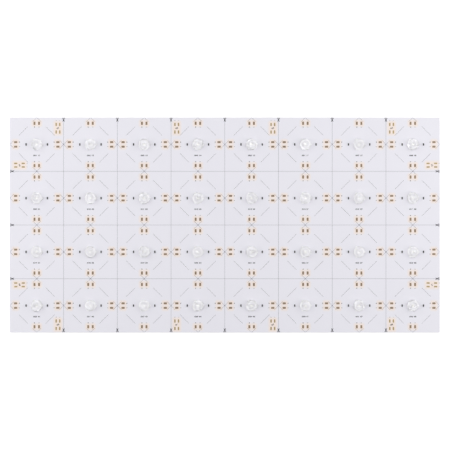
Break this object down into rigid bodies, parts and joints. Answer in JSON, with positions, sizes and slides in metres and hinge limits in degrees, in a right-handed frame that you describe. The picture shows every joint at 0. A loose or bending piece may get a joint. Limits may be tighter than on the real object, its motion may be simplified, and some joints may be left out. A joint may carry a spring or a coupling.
{
  "type": "flexible led sheet",
  "caption": "Flat flexible circuit sheet of square cut-apart modules, each with a domed diffusing lens over an LED, small chip resistors and copper solder pads at its edges.",
  "frame": {"origin": "centre of the underside, on the face of the release liner that lies on the surface", "axes": "+X along the long side, +Y across the sheet towards the edge that is up in the picture, +Z out of the side with the lenses"},
  "size_m": [0.48, 0.24, 0.0048],
  "materials": {
    "white_cover_layer": "satin",
    "adhesive": "tacky matte",
    "liner_paper": "waxed",
    "ink": "matte",
    "bare_copper": "satin",
    "led_housing": "satin",
    "phosphor": "satin",
    "chip_overcoat": "semi-gloss",
    "solder": "satin",
    "lens": "translucent"
  },
  "bodies": {
    "root": {"flex_circuit": "white_cover_layer", "adhesive_tape": "adhesive", "release_liner": "liner_paper", "printed_guides": "ink", "supply_pads_top": "bare_copper", "supply_pads_bottom": "bare_copper", "supply_pads_left": "bare_copper", "supply_pads_right": "bare_copper", "led_housings_row_a": "led_housing", "led_housings_row_b": "led_housing", "led_housings_row_c": "led_housing", "led_housings_row_d": "led_housing", "led_phosphor_row_a": "phosphor", "led_phosphor_row_b": "phosphor", "led_phosphor_row_c": "phosphor", "led_phosphor_row_d": "phosphor", "chip_resistors_row_a": "chip_overcoat", "chip_resistors_row_b": "chip_overcoat", "chip_resistors_row_c": "chip_overcoat", "chip_resistors_row_d": "chip_overcoat", "resistor_end_caps_row_a": "solder", "resistor_end_caps_row_b": "solder", "resistor_end_caps_row_c": "solder", "resistor_end_caps_row_d": "solder", "module_pads_row_a": "bare_copper", "module_pads_row_b": "bare_copper", "module_pads_row_c": "bare_copper", "module_pads_row_d": "bare_copper", "lens_a1": "lens", "lens_a2": "lens", "lens_a3": "lens", "lens_a4": "lens", "lens_a5": "lens", "lens_a6": "lens", "lens_a7": "lens", "lens_a8": "lens", "lens_b1": "lens", "lens_b2": "lens", "lens_b3": "lens", "lens_b4": "lens", "lens_b5": "lens", "lens_b6": "lens", "lens_b7": "lens", "lens_b8": "lens", "lens_c1": "lens", "lens_c2": "lens", "lens_c3": "lens", "lens_c4": "lens", "lens_c5": "lens", "lens_c6": "lens", "lens_c7": "lens", "lens_c8": "lens", "lens_d1": "lens", "lens_d2": "lens", "lens_d3": "lens", "lens_d4": "lens", "lens_d5": "lens", "lens_d6": "lens", "lens_d7": "lens", "lens_d8": "lens"}
  },
  "joints": []
}
